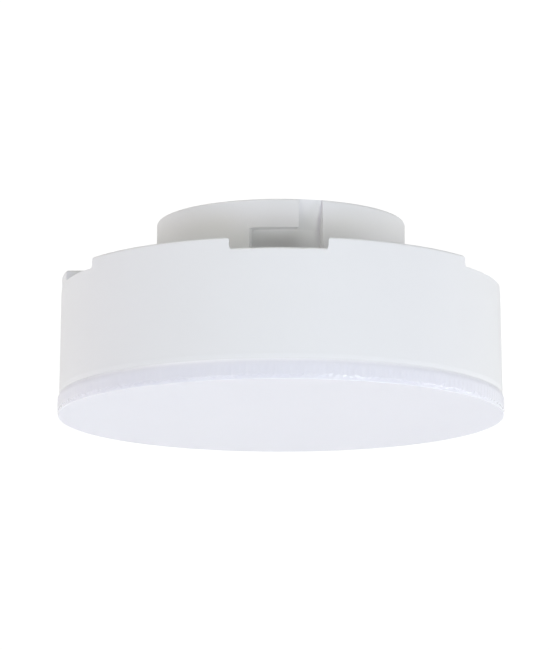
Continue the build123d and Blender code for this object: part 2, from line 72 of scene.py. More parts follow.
class NodeBoard:
    """A node tree with short calls that add a node and feed its sockets."""

    def __init__(self, tree: bpy.types.NodeTree) -> None:
        """Clear the tree and keep it.

        Args:
            tree: the node tree of a material, a world or a group.
        """
        self.tree = tree
        tree.nodes.clear()

    def feed(self, socket: Socket, value: Feed) -> None:
        """Link a socket to another one, or set its constant.

        Args:
            socket: the input to feed.
            value: an output socket, a number, or a colour or vector.
        """
        if isinstance(value, bpy.types.NodeSocket):
            self.tree.links.new(value, socket)
            return
        if socket.type == "RGBA" and len(value) == 3:
            value = (*value, 1.0)
        socket.default_value = value

    def add(self, kind: str, feeds: dict[Union[str, int], Feed], **settings: object) -> bpy.types.Node:
        """Add a node.

        Args:
            kind: the node's type, without its ShaderNode prefix.
            feeds: what feeds its inputs, by name or by number.
            settings: attributes of the node.

        Returns:
            The new node.
        """
        node = self.tree.nodes.new(f"ShaderNode{kind}")
        for name, setting in settings.items():
            setattr(node, name, setting)
        for name, value in feeds.items():
            self.feed(node.inputs[name], value)
        return node

    def math(self, operation: str, *values: Feed) -> Socket:
        """Work out one number from others, by the Math node's operation."""
        return self.add("Math", dict(enumerate(values)), operation=operation).outputs[0]

    def ramp(self, value: Feed, low: Feed, high: Feed, start: float, end: float) -> Socket:
        """Carry a value from the stretch low to high onto the stretch start to end, held at both ends."""
        feeds = {"Value": value, "From Min": low, "From Max": high, "To Min": start, "To Max": end}
        return self.add("MapRange", feeds, clamp=True).outputs["Result"]

    def above(self, value: Feed, limit: float, soft: float = 0.02) -> Socket:
        """A mask that is 1 where a value is above a limit."""
        return self.ramp(value, limit - soft, limit + soft, 0.0, 1.0)

    def blend(self, share: Feed, first: Feed, second: Feed) -> Socket:
        """Mix two colours, the second by the share."""
        node = self.add("Mix", {}, data_type="RGBA", blend_type="MIX")
        for index, value in ((0, share), (6, first), (7, second)):
            self.feed(node.inputs[index], value)
        return node.outputs[2]

    def between(self, share: Feed, first: Feed, second: Feed) -> Socket:
        """Mix two numbers, the second by the share."""
        feeds = {0: share, 2: first, 3: second}
        return self.add("Mix", feeds, data_type="FLOAT").outputs[0]

    def shade(self, colour: Feed, factor: Feed) -> Socket:
        """Multiply a colour by a factor."""
        return self.add("VectorMath", {0: colour, 3: factor}, operation="SCALE").outputs[0]

    def noise(self, place: Feed, scale: Feed, detail: float, roughness: float = 0.5) -> Socket:
        """A noise value round 0.5 at a place."""
        feeds = {"Vector": place, "Scale": scale, "Detail": detail, "Roughness": roughness}
        return self.add("TexNoise", feeds).outputs[0]

    def centred(self, noise: Feed) -> Socket:
        """A noise value moved so that it lies round 0."""
        return self.math("SUBTRACT", noise, 0.5)

    def vary(self, noise: Feed, stretch: Pair) -> Socket:
        """Carry the middle of a noise value's run onto a stretch."""
        return self.ramp(noise, *NOISE_MIDDLE, *stretch)

    def parts(self, vector: Feed) -> bpy.types.NodeOutputs:
        """The X, Y and Z of a vector."""
        return self.add("SeparateXYZ", {"Vector": vector}).outputs


class Effect(Enum):
    """The shared surface effects, each one a node group."""

    MOULD_GRAIN = "mould_grain"
    TOOL_MARKS = "tool_marks"
    BOARD_TRACKS = "board_tracks"
    TINNING = "tinning"


@dataclass
class GroupBoard:
    """A node group under construction: its tree, its board and its outer sockets by name."""

    group: bpy.types.NodeTree
    board: NodeBoard
    feed: bpy.types.NodeOutputs
    out: bpy.types.NodeInputs


class Effects:
    """The node groups that several finishes share, each built once."""

    grain_share: float = 0.4
    cloud_share: float = 0.6
    cloud_scale: float = 0.25
    line_stretch: tuple[float, float, float] = (0.02, 1.0, 1.0)
    field_stagger = {"offset": 0.37, "offset_frequency": 2, "squash": 0.55, "squash_frequency": 3}
    tin_colour: Colour = (0.66, 0.66, 0.64)
    tin_shades: Pair = (0.85, 1.1)
    tin_roughness: Pair = (0.22, 0.42)
    tin_scale: float = 1.6

    def __init__(self) -> None:
        """Build every group."""
        self.groups = {
            Effect.MOULD_GRAIN: self.mould_grain(),
            Effect.TOOL_MARKS: self.tool_marks(),
            Effect.BOARD_TRACKS: self.board_tracks(),
            Effect.TINNING: self.tinning(),
        }

    @staticmethod
    def start(
        effect: Effect, inputs: dict[str, Union[float, Colour]], outputs: tuple[str, ...]
    ) -> GroupBoard:
        """Make an empty group with a Place input, numbers and colours with their defaults, and outputs.

        Args:
            effect: the effect that the group makes.
            inputs: names and defaults of the other inputs; a triple makes a colour.
            outputs: names of the outputs; Colour is a colour and the others are numbers.

        Returns:
            The group with its board and sockets.
        """
        group = bpy.data.node_groups.new(effect.value, "ShaderNodeTree")
        group.interface.new_socket("Place", in_out="INPUT", socket_type="NodeSocketVector")
        for name, default in inputs.items():
            kind = "NodeSocketColor" if isinstance(default, tuple) else "NodeSocketFloat"
            socket = group.interface.new_socket(name, in_out="INPUT", socket_type=kind)
            socket.default_value = (*default, 1.0) if isinstance(default, tuple) else default
        for name in outputs:
            kind = "NodeSocketColor" if name == "Colour" else "NodeSocketFloat"
            group.interface.new_socket(name, in_out="OUTPUT", socket_type=kind)
        board = NodeBoard(group)
        source = group.nodes.new("NodeGroupInput")
        sink = group.nodes.new("NodeGroupOutput")
        return GroupBoard(group, board, source.outputs, sink.inputs)

    def mould_grain(self) -> bpy.types.NodeTree:
        """Skin of a moulding: a fine eroded grain, broad flow shades and a roughness that follows both."""
        inputs = {"Grain Scale": 6.0, "Flow Scale": 0.06, "Roughness": 0.4, "Spread": 0.1, "Shade": 0.02}
        made = self.start(Effect.MOULD_GRAIN, inputs, ("Tint", "Roughness", "Height"))
        board, feed, out = made.board, made.feed, made.out
        grain = board.noise(feed["Place"], feed["Grain Scale"], 3.0, 0.6)
        flow = board.noise(feed["Place"], feed["Flow Scale"], 2.0)
        both = board.math("MULTIPLY_ADD", board.centred(grain), self.grain_share, board.centred(flow))
        board.feed(out["Tint"], board.math("MULTIPLY_ADD", both, feed["Shade"], 1.0))
        board.feed(out["Roughness"], board.math("MULTIPLY_ADD", both, feed["Spread"], feed["Roughness"]))
        board.feed(out["Height"], grain)
        return made.group

    def tool_marks(self) -> bpy.types.NodeTree:
        """Turned or rolled metal: fine lines across one direction, broken up along it."""
        inputs = {"Line Scale": 9.0, "Roughness": 0.3, "Spread": 0.15, "Shade": 0.06}
        made = self.start(Effect.TOOL_MARKS, inputs, ("Tint", "Roughness", "Height"))
        board, feed, out = made.board, made.feed, made.out
        stretched = board.add("VectorMath", {0: feed["Place"], 1: self.line_stretch}, operation="MULTIPLY")
        lines = board.noise(stretched.outputs[0], feed["Line Scale"], 2.0, 0.7)
        cloud = board.centred(board.noise(feed["Place"], self.cloud_scale, 2.0))
        both = board.math("MULTIPLY_ADD", cloud, self.cloud_share, board.centred(lines))
        board.feed(out["Tint"], board.math("MULTIPLY_ADD", both, feed["Shade"], 1.0))
        board.feed(out["Roughness"], board.math("MULTIPLY_ADD", both, feed["Spread"], feed["Roughness"]))
        board.feed(out["Height"], lines)
        return made.group

    def board_tracks(self) -> bpy.types.NodeTree:
        """Copper under solder mask: rows of broad square-cornered fields parted by thin gaps."""
        inputs = {"Field Scale": 0.2, "Gap": 0.05, "Field Length": 1.6, "Row Height": 0.85}
        made = self.start(Effect.BOARD_TRACKS, inputs, ("Copper",))
        board, feed = made.board, made.feed
        feeds = {"Vector": feed["Place"], "Scale": feed["Field Scale"], "Mortar Size": feed["Gap"]}
        feeds |= {"Brick Width": feed["Field Length"], "Row Height": feed["Row Height"], "Mortar Smooth": 0.0}
        gaps = board.add("TexBrick", feeds, **self.field_stagger).outputs["Fac"]
        board.feed(made.out["Copper"], board.math("SUBTRACT", 1.0, gaps))
        return made.group

    def tinning(self) -> bpy.types.NodeTree:
        """Bare tinned metal, clouded by the solder bath, where a mask is 1, and a body's skin elsewhere."""
        inputs = {"Mask": 0.0, "Body Colour": grey(0.5), "Body Roughness": 0.5}
        made = self.start(Effect.TINNING, inputs, ("Colour", "Roughness", "Metallic"))
        board, feed, out = made.board, made.feed, made.out
        cloud = board.noise(feed["Place"], self.tin_scale, 3.0)
        tin = board.shade(self.tin_colour, board.vary(cloud, self.tin_shades))
        dull = board.vary(cloud, self.tin_roughness)
        board.feed(out["Colour"], board.blend(feed["Mask"], feed["Body Colour"], tin))
        board.feed(out["Roughness"], board.between(feed["Mask"], feed["Body Roughness"], dull))
        board.feed(out["Metallic"], feed["Mask"])
        return made.group

    def place(self, board: NodeBoard, effect: Effect, place: Feed, **values: Feed) -> bpy.types.NodeOutputs:
        """Put a group into a material.

        Args:
            board: the material's board.
            effect: which effect.
            place: the coordinate that it reads.
            values: its other inputs, with underscores for spaces.

        Returns:
            The group's outputs by name.
        """
        node = board.tree.nodes.new("ShaderNodeGroup")
        node.node_tree = self.groups[effect]
        board.feed(node.inputs["Place"], place)
        for name, value in values.items():
            board.feed(node.inputs[name.replace("_", " ")], value)
        return node.outputs


EFFECTS = Effects()


class Finish:
    """A material under construction: its board, the lamp's coordinates and the surface shader."""

    def __init__(self, name: str, **constants: Feed) -> None:
        """Start a material with a surface shader.

        Args:
            name: the material's name.
            constants: shader inputs that are the same all over, with underscores for spaces.
        """
        self.material = bpy.data.materials.new(name)
        self.material.use_nodes = True
        self.board = NodeBoard(self.material.node_tree)
        metres = self.board.add("TexCoord", {}).outputs["Object"]
        self.place = self.board.shade(metres, 1.0 / MM)
        self.shader = self.board.add("BsdfPrincipled", {})
        self.set(**constants)
        output = self.board.add("OutputMaterial", {})
        self.board.feed(output.inputs["Surface"], self.shader.outputs[0])

    def set(self, **values: Feed) -> None:
        """Feed inputs of the surface shader, with underscores for spaces in their names."""
        for name, value in values.items():
            self.board.feed(self.shader.inputs[name.replace("_", " ")], value)

    def relief(self, height: Feed, depth: float) -> None:
        """Raise the surface by a height of 0 to 1 times a depth."""
        self.set(Normal=self.board.add("Bump", {"Height": height, "Distance": depth * MM}).outputs["Normal"])

    def facing(self) -> Socket:
        """How far the surface faces up, from -1 to 1."""
        return self.board.parts(self.board.add("NewGeometry", {}).outputs["Normal"])["Z"]

    def centred(self, x: float, y: float) -> Socket:
        """The lamp's coordinates moved so that an upright axis passes through their origin."""
        return self.board.add("Mapping", {"Vector": self.place, "Location": (-x, -y, 0.0)}).outputs["Vector"]

    def grain(self, colour: Feed, roughness: float, scale: float, depth: float, **values: Feed) -> None:
        """Dress the whole surface as a moulding.

        Args:
            colour: its colour.
            roughness: its mean roughness.
            scale: grains in a millimetre.
            depth: the grain's relief.
            values: other inputs of the grain.
        """
        feeds = {"Grain_Scale": scale, "Roughness": roughness, **values}
        skin = EFFECTS.place(self.board, Effect.MOULD_GRAIN, self.place, **feeds)
        self.set(Base_Color=self.board.shade(colour, skin["Tint"]), Roughness=skin["Roughness"])
        self.relief(skin["Height"], depth)

    def tin(self, mask: Feed, colour: Feed, roughness: Feed) -> None:
        """Dress the surface as bare tinned metal where a mask is 1, and as a coloured body elsewhere."""
        feeds = {"Mask": mask, "Body_Colour": colour, "Body_Roughness": roughness}
        skin = EFFECTS.place(self.board, Effect.TINNING, self.place, **feeds)
        self.set(Base_Color=skin["Colour"], Roughness=skin["Roughness"], Metallic=skin["Metallic"])


@dataclass(frozen=True)
class MouldedPlastic:
    """An injection-moulded surface with an eroded grain and faint flow shades."""

    name: str
    colour: Colour
    roughness: float
    grain_scale: float = 6.0
    relief: float = 0.004
    shade: float = 0.02
    spread: float = 0.1
    ior: float = 1.49

    def make(self) -> bpy.types.Material:
        """Build the material."""
        finish = Finish(self.name, IOR=self.ior)
        values = {"Shade": self.shade, "Spread": self.spread}
        finish.grain(self.colour, self.roughness, self.grain_scale, self.relief, **values)
        return finish.material


@dataclass(frozen=True)
class OpalPlastic:
    """Diffusing plastic, polished where it is marked; towards the top of the band its colour turns paler, a
    painted highlight on the lip, and its subsurface glow fades out there.
    """

    name: str
    colour: Colour
    roughness: float
    glow: float
    glow_depth: float
    lip_highlight_colour: Colour
    lip_highlight_from: float = 2.8
    lip_highlight_to: float = 3.4
    polished: float = 0.18
    mark: str = "rib_end"
    grain_scale: float = 3.0
    shade: float = 0.015
    ior: float = 1.52

    def make(self) -> bpy.types.Material:
        """Build the material."""
        finish = Finish(self.name, IOR=self.ior)
        finish.set(Subsurface_Radius=grey(1.0), Subsurface_Scale=self.glow_depth * MM)
        board = finish.board
        feeds = {"Grain_Scale": self.grain_scale, "Shade": self.shade}
        skin = EFFECTS.place(board, Effect.MOULD_GRAIN, finish.place, **feeds)
        ends = board.add("Attribute", {}, attribute_name=self.mark).outputs["Fac"]
        height = board.parts(finish.place)["Z"]
        # Painted highlight: near the top of the band the colour blends to a paler one to light the up-facing
        # lip, and the subsurface glow fades out over the same heights.
        lip_highlight_share = board.ramp(height, self.lip_highlight_from, self.lip_highlight_to, 0.0, 1.0)
        tone = board.blend(lip_highlight_share, self.colour, self.lip_highlight_colour)
        finish.set(Subsurface_Weight=board.between(lip_highlight_share, self.glow, 0.0))
        finish.set(Base_Color=board.shade(tone, skin["Tint"]))
        finish.set(Roughness=board.between(ends, self.roughness, self.polished))
        return finish.material


@dataclass(frozen=True)
class WorkedMetal:
    """Bare or plated metal with turning, rolling or drawing lines."""

    name: str
    colour: Colour
    roughness: float
    line_scale: float = 9.0
    relief: float = 0.003

    def make(self) -> bpy.types.Material:
        """Build the material."""
        finish = Finish(self.name, Metallic=1.0)
        feeds = {"Line_Scale": self.line_scale, "Roughness": self.roughness}
        marks = EFFECTS.place(finish.board, Effect.TOOL_MARKS, finish.place, **feeds)
        tone = finish.board.shade(self.colour, marks["Tint"])
        finish.set(Base_Color=tone, Roughness=marks["Roughness"])
        finish.relief(marks["Height"], self.relief)
        return finish.material


@dataclass(frozen=True)
class CircuitBoard:
    """A board under solder mask, with copper fields that show through and a bare core at its edge."""

    name: str
    mask_colour: Colour
    copper_colour: Colour
    core_colour: Colour
    core_metallic: float
    covered_above: bool
    field_scale: float = 0.2
    relief: float = 0.03
    core_roughness: float = 0.45
    lacquer_roughness: Pair = (0.24, 0.38)
    weave_scale: float = 5.0
    level_from: float = 0.5
    ior: float = 1.5

    def make(self) -> bpy.types.Material:
        """Build the material."""
        finish = Finish(self.name, IOR=self.ior)
        board = finish.board
        tracks = EFFECTS.place(board, Effect.BOARD_TRACKS, finish.place, Field_Scale=self.field_scale)
        lacquer = board.blend(tracks["Copper"], self.mask_colour, self.copper_colour)
        facing = finish.facing()
        if self.covered_above:
            facing = board.math("ABSOLUTE", facing)
        else:
            facing = board.math("MULTIPLY", facing, -1.0)
        covered = board.above(facing, self.level_from)
        weave = board.vary(board.noise(finish.place, self.weave_scale, 2.0), self.lacquer_roughness)
        finish.set(Base_Color=board.blend(covered, self.core_colour, lacquer))
        finish.set(Metallic=board.between(covered, self.core_metallic, 0.0))
        finish.set(Roughness=board.between(covered, self.core_roughness, weave))
        finish.relief(board.math("MULTIPLY", tracks["Copper"], covered), self.relief)
        return finish.material


@dataclass(frozen=True)
class LedPackage:
    """A white package whose sunk window is filled with yellow phosphor."""

    name: str
    colour: Colour = (0.86, 0.85, 0.80)
    phosphor: Colour = (0.86, 0.60, 0.10)
    window_height: float = 6.35
    window_play: float = 0.04
    level_from: float = 0.5
    roughness: float = 0.4
    powder_scale: float = 12.0
    powder_shades: Pair = (0.8, 1.1)
    powder_roughness: Pair = (0.15, 0.3)
    relief: float = 0.004
    ior: float = 1.5

    def make(self) -> bpy.types.Material:
        """Build the material."""
        finish = Finish(self.name, IOR=self.ior)
        board = finish.board
        away = board.math("SUBTRACT", board.parts(finish.place)["Z"], self.window_height)
        level = board.math("LESS_THAN", board.math("ABSOLUTE", away), self.window_play)
        down = board.math("LESS_THAN", finish.facing(), -self.level_from)
        window = board.math("MULTIPLY", level, down)
        grains = board.noise(finish.place, self.powder_scale, 3.0, 0.7)
        powder = board.shade(self.phosphor, board.vary(grains, self.powder_shades))
        dull = board.vary(grains, self.powder_roughness)
        finish.set(Base_Color=board.blend(window, self.colour, powder))
        finish.set(Roughness=board.between(window, self.roughness, dull))
        finish.relief(grains, self.relief)
        return finish.material


class LeadSide(Enum):
    """Which way a part's bare leads stand away from its body."""

    X = "X"
    Y = "Y"
    DOWN = "Z"


@dataclass(frozen=True)
class LeadedPart:
    """A part of the driver: a coloured body and bare tinned leads beyond a limit on one side of it."""

    name: str
    colour: Colour
    roughness: float
    side: LeadSide
    limit: float
    offset: float = 0.0
    relief: float = 0.006
    grain_scale: float = 8.0
    spread: float = 0.15
    shade: float = 0.15
    ior: float = 1.5

    def lead_mask(self, finish: Finish) -> Socket:
        """A mask of the leads.

        Args:
            finish: the material under construction.

        Returns:
            1 below the limit for leads that stand down, and otherwise 1 where the distance from the nearest
            of the bodies, which stand at the offset on both sides of the middle, is above the limit.
        """
        board = finish.board
        level = board.parts(finish.place)[self.side.value]
        if self.side is LeadSide.DOWN:
            return board.above(board.math("MULTIPLY", level, -1.0), -self.limit)
        outward = board.math("SUBTRACT", board.math("ABSOLUTE", level), self.offset)
        return board.above(board.math("ABSOLUTE", outward), self.limit)

    def body(self, finish: Finish) -> Feed:
        """The body's colour, here the same all over."""
        return self.colour

    def make(self) -> bpy.types.Material:
        """Build the material."""
        finish = Finish(self.name, IOR=self.ior)
        board = finish.board
        feeds = {"Grain_Scale": self.grain_scale, "Roughness": self.roughness}
        feeds |= {"Spread": self.spread, "Shade": self.shade}
        skin = EFFECTS.place(board, Effect.MOULD_GRAIN, finish.place, **feeds)
        tone = board.shade(self.body(finish), skin["Tint"])
        finish.tin(self.lead_mask(finish), tone, skin["Roughness"])
        finish.relief(skin["Height"], self.relief)
        return finish.material


@dataclass(frozen=True)
class SleevedCan(LeadedPart):
    """A capacitor's can in a shrunk sleeve with one pale stripe, its aluminium bare amid the top."""

    axis: Pair = (0.0, 0.0)
    radius: float = 4.0
    top: float = 30.0
    stripe: Colour = (0.55, 0.57, 0.60)
    stripe_share: float = 0.9
    bare_share: float = 0.78
    bare_depth: float = 0.1
    aluminium: Colour = (0.7, 0.7, 0.7)

    def body(self, finish: Finish) -> Feed:
        """The sleeve's dark colour, with the pale stripe along one side and the bare middle of the top."""
        board = finish.board
        around = finish.centred(*self.axis)
        aside = board.parts(around)
        striped = board.above(aside["X"], self.stripe_share * self.radius)
        squares = [board.math("POWER", aside[letter], 2.0) for letter in "XY"]
        reach = board.math("SQRT", board.math("ADD", *squares))
        middle = board.math("SUBTRACT", 1.0, board.above(reach, self.bare_share * self.radius))
        bare = board.math("MULTIPLY", middle, board.above(aside["Z"], self.top - self.bare_depth))
        return board.blend(bare, board.blend(striped, self.colour, self.stripe), self.aluminium)


@dataclass(frozen=True)
class WoundDrum(LeadedPart):
    """A ferrite drum: dull flanges with an enamelled winding between them, its turns drawn by painted
    highlight and painted shade.
    """

    winding: Colour = (0.30, 0.12, 0.05)
    low: float = 20.9
    high: float = 26.5
    turns_scale: float = 3.2
    turn_light_and_shade: Pair = (0.55, 1.15)

    def body(self, finish: Finish) -> Feed:
        """The drum's colour: ferrite, and between two heights the winding, lighter and darker in a wave along
        the height as painted highlight and painted shade of its turns.
        """
        board = finish.board
        height = board.parts(finish.place)["Z"]
        over_low = board.above(height, self.low)
        under_high = board.above(board.math("MULTIPLY", height, -1.0), -self.high)
        wound = board.math("MULTIPLY", over_low, under_high)
        # Painted highlight and painted shade: the winding's colour swings brighter and darker with height to
        # draw each wire turn.
        turns = board.math("SINE", board.math("MULTIPLY", height, 2.0 * math.pi * self.turns_scale))
        wire = board.shade(self.winding, board.ramp(turns, -1.0, 1.0, *self.turn_light_and_shade))
        return board.blend(wound, self.colour, wire)


@dataclass(frozen=True)
class RingedBody(LeadedPart):
    """A lacquered resistor with plain colour rings round it."""

    rings: tuple[tuple[float, Colour], ...] = ()
    ring_width: float = 0.6

    def body(self, finish: Finish) -> Feed:
        """The lacquer's colour with a ring at each place along the body."""
        board = finish.board
        along = board.parts(finish.place)["X"]
        tone: Feed = self.colour
        for place, colour in self.rings:
            away = board.math("ABSOLUTE", board.math("SUBTRACT", along, place))
            ring = board.math("LESS_THAN", away, self.ring_width / 2)
            tone = board.blend(ring, tone, colour)
        return tone


@dataclass(frozen=True)
class WireCover:
    """Rubbery insulation with bare tinned strands above a height and beyond a reach along X."""

    name: str
    colour: Colour
    bare_above: float
    bare_beyond: float
    roughness: float = 0.5
    grain_scale: float = 10.0
    shade: float = 0.1
    relief: float = 0.004
    ior: float = 1.45

    def make(self) -> bpy.types.Material:
        """Build the material."""
        finish = Finish(self.name, IOR=self.ior)
        board = finish.board
        place = board.parts(finish.place)
        high = board.above(place["Z"], self.bare_above)
        far = board.above(board.math("ABSOLUTE", place["X"]), self.bare_beyond)
        feeds = {"Grain_Scale": self.grain_scale, "Roughness": self.roughness, "Shade": self.shade}
        skin = EFFECTS.place(board, Effect.MOULD_GRAIN, finish.place, **feeds)
        tone = board.shade(self.colour, skin["Tint"])
        finish.tin(board.math("MAXIMUM", high, far), tone, skin["Roughness"])
        finish.relief(skin["Height"], self.relief)
        return finish.material


def arc(centre: Pair, radius: float, start: float, end: float, steps: int) -> np.ndarray:
    """Points of a circular arc in the half section, as (radius, height) rows.

    Each point is the centre plus the radius times the cosine and sine of a polar angle.

    Args:
        centre: the arc's centre.
        radius: its radius.
        start: the polar angle that it starts at, in degrees from the outward direction.
        end: the angle that it ends at.
        steps: how many stretches it has.

    Returns:
        An array of steps + 1 rows.
    """
    turns = np.radians(np.linspace(start, end, steps + 1))
    return np.array(centre) + radius * np.stack([np.cos(turns), np.sin(turns)], axis=1)


def close_skin(name: str, grid: np.ndarray, sharp_deg: float) -> bpy.types.Object:
    """Close a grid of points round the lamp's axis into one smooth skin between two poles.

    Each row of the grid is a closed ring and rows follow the section, and the first and last rows shrink
    to a single point on the axis.

    Args:
        name: the piece's name.
        grid: rows x columns x 3 coordinates in millimetres, the first and last row being poles.
        sharp_deg: the angle between two faces above which their edge stays sharp.

    Returns:
        The new piece, linked to the scene.
    """
    rows, columns, _ = grid.shape
    inner = grid[1:-1].reshape(-1, 3)
    points = np.concatenate([grid[0, :1], inner, grid[-1, :1]]) * MM
    here = np.arange(columns)
    beyond = np.roll(here, -1)
    ring = 1 + np.arange(rows - 3)[:, None] * columns
    quads = np.stack([ring + here, ring + beyond, ring + columns + beyond, ring + columns + here], axis=-1)
    last_ring = 1 + (rows - 3) * columns
    first_fan = np.stack([np.zeros_like(here), 1 + beyond, 1 + here], axis=-1)
    pole = np.full_like(here, len(points) - 1)
    last_fan = np.stack([last_ring + here, last_ring + beyond, pole], axis=-1)
    mesh = bpy.data.meshes.new(name)
    faces = [*first_fan.tolist(), *quads.reshape(-1, 4).tolist(), *last_fan.tolist()]
    mesh.from_pydata(points.tolist(), [], faces)
    mesh.polygons.foreach_set("use_smooth", np.ones(len(mesh.polygons), bool))
    mesh.set_sharp_from_angle(angle=math.radians(sharp_deg))
    mesh.update()
    piece = bpy.data.objects.new(name, mesh)
    bpy.context.scene.collection.objects.link(piece)
    return piece


def mark(piece: bpy.types.Object, name: str, grid: np.ndarray) -> None:
    """Keep a number for each point of a skin as an attribute.

    Args:
        piece: the skin.
        name: the attribute's name.
        grid: rows x columns of numbers, laid out as the skin's own grid.
    """
    values = np.concatenate([grid[0, :1], grid[1:-1].reshape(-1), grid[-1, :1]]).astype(np.float32)
    piece.data.attributes.new(name, "FLOAT", "POINT").data.foreach_set("value", values)


def dress(node: str, material: bpy.types.Material) -> None:
    """Give a node of the frame its material."""
    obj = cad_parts[node]
    obj.data.materials.clear()
    obj.data.materials.append(material)
    LOG.info("dressed %s in %s", node, material.name)


@dataclass
class LightFace:
    """Opal cup: the flat light face, the ribbed band round it, and the spigot with its snap beads.

    The band's crests lie on the cup's full radius. Near the bottom they sink into a plain foot, and above
    them a narrow lip leans in to meet the housing's wall. Guard rings on both sides of the sharp lower edge
    keep its shading from running into the face and the foot.
    """

    rib_count: int = 200
    rib_steps: int = 8
    rib_gather: float = 1.3
    rib_depth: float = 0.06
    rib_jitter: float = 0.35
    foot_depth: float = 0.085
    foot_height: float = 0.38
    foot_jitter: float = 0.10
    end_slopes: Pair = (0.14, 0.38)
    end_lean: float = 0.10
    end_room: float = 0.80
    end_rows: int = 14
    plain_rows: int = 4
    band_height: float = 3.4
    edge_radius: float = 0.04
    edge_steps: int = 3
    edge_guard: float = 0.05
    lip_width: float = 0.3
    lip_height: float = 0.7
    face_rings: tuple[float, ...] = (0.0, 0.4, 0.8, 0.96)
    face_thickness: float = 1.5
    inner_ring: float = 0.6
    corner_radius: float = 0.4
    corner_steps: int = 4
    spigot_radius: float = 35.33
    spigot_thickness: float = 1.3
    bead_count: int = 6
    bead_span_deg: float = 16.0
    bead_reach: float = 0.4
    bead_height: float = 1.0
    bead_drop: float = 1.0
    bead_levels: tuple[float, ...] = (-0.52, -0.5, 0.0, 0.5, 0.52)
    soft_edge: float = 0.1
    sharp_deg: float = 32.0
    face_share: float = 0.85
    seed: int = 7
    # The pale colour painted on the band's lip as a highlight.
    lip_highlight_colour: Colour = (0.95, 0.955, 1.0)
    face_finish: OpalPlastic = OpalPlastic("opal_face", (0.84, 0.845, 0.88), 0.45, 0.5, 0.6, lip_highlight_colour)
    band_finish: OpalPlastic = OpalPlastic("opal_band", (0.812, 0.814, 0.868), 0.45, 1.0, 0.35, lip_highlight_colour)

    def __post_init__(self) -> None:
        """Take the outer sizes from the frame."""
        low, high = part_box("diffuser")
        self.radius = (high.x - low.x) / 2 / MM
        self.top = high.z / MM

    def half_section(self) -> np.ndarray:
        """The outline of half the cup without its ribs, from the middle of the face round to its inside.

        Returns:
            Rows of (radius, height).
        """
        soft = self.soft_edge
        bore = self.spigot_radius - self.spigot_thickness
        guard_ring = self.radius - self.foot_depth - self.edge_radius - self.edge_guard
        flat = np.append(self.radius * np.array(self.face_rings), guard_ring)
        face = np.stack([flat, np.zeros_like(flat)], axis=1)
        edge_place = (self.radius - self.edge_radius, self.edge_radius)
        edge = arc(edge_place, self.edge_radius, -90, 0, self.edge_steps)
        ends_top = self.foot_height + self.foot_jitter + self.end_room
        ends = np.linspace(self.foot_height - self.foot_jitter, ends_top, self.end_rows)
        plain = np.linspace(ends_top, self.band_height - self.lip_height, self.plain_rows)[1:]
        levels = np.concatenate([[self.edge_radius + self.edge_guard], ends, plain])
        band = np.stack([np.full_like(levels, self.radius), levels], axis=1)
        lip = [(self.radius - self.lip_width, self.band_height)]
        ledge = [(self.spigot_radius + soft, self.band_height), (self.spigot_radius, self.band_height + soft)]
        beads = self.top - self.bead_drop + self.bead_height * np.array(self.bead_levels)
        spigot = np.stack([np.full_like(beads, self.spigot_radius), beads], axis=1)
        crown = [(self.spigot_radius, self.top - soft), (self.spigot_radius - soft, self.top)]
        mouth = [(bore + soft, self.top), (bore, self.top - soft)]
        corner_place = (bore - self.corner_radius, self.face_thickness + self.corner_radius)
        corner = arc(corner_place, self.corner_radius, 0, -90, self.corner_steps)
        inside = [(self.inner_ring * bore, self.face_thickness), (0.0, self.face_thickness)]
        return np.concatenate([face, edge, band, lip, ledge, spigot, crown, mouth, corner, inside])

    def build(self) -> bpy.types.Object:
        """Turn the half section about the axis and cut the ribs and beads into it.

        The cut into the radius is a parabola across each rib, nothing at its crest and most at the sharp
        valleys beside it. Near the foot a slope is added, which grows in a straight line downwards and leans
        a little to one side, until the cut is as deep as the foot. Where the slope cuts, the rib's end is
        marked as polished. Ribs differ in depth, in where they end and in how steep the end is. Columns stand
        closer near a crest than near the valleys.

        Returns:
            The finished piece.
        """
        section = self.half_section()
        columns = self.rib_count * self.rib_steps
        draw = np.random.default_rng(self.seed)
        rib = np.arange(columns) // self.rib_steps
        aside = 2.0 * (np.arange(columns) % self.rib_steps) / self.rib_steps - 1.0
        across = 0.5 * np.sign(aside) * np.abs(aside) ** self.rib_gather
        turns = 2.0 * np.pi * (rib + across) / self.rib_count
        deep = self.rib_depth * (1.0 - self.rib_jitter * draw.uniform(0, 1, self.rib_count))[rib]
        start = self.foot_height + self.foot_jitter * draw.uniform(-1, 1, self.rib_count)[rib]
        slope = draw.uniform(*self.end_slopes, self.rib_count)[rib]
        lean = self.end_lean * draw.uniform(-1, 1, self.rib_count)[rib]
        pitch = 2.0 * np.pi * self.radius / self.rib_count
        radius = np.repeat(section[:, :1], columns, axis=1)
        height = np.repeat(section[:, 1:], columns, axis=1)
        outside = radius > self.radius - self.edge_radius - TOUCH
        sunk = np.maximum(self.foot_depth - slope * (height - start) - lean * pitch * across, 0.0)
        cut = np.minimum(deep * (2.0 * across) ** 2 + sunk, self.foot_depth)
        grid = self.spread(radius - np.where(outside, cut, 0.0), height, turns)
        piece = close_skin("light_face", grid, self.sharp_deg)
        mark(piece, self.band_finish.mark, outside & (sunk > 0.0) & (cut < self.foot_depth))
        self.paint(piece)
        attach(piece, "root")
        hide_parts("diffuser")
        LOG.info("built %s with %d ribs", piece.name, self.rib_count)
        return piece

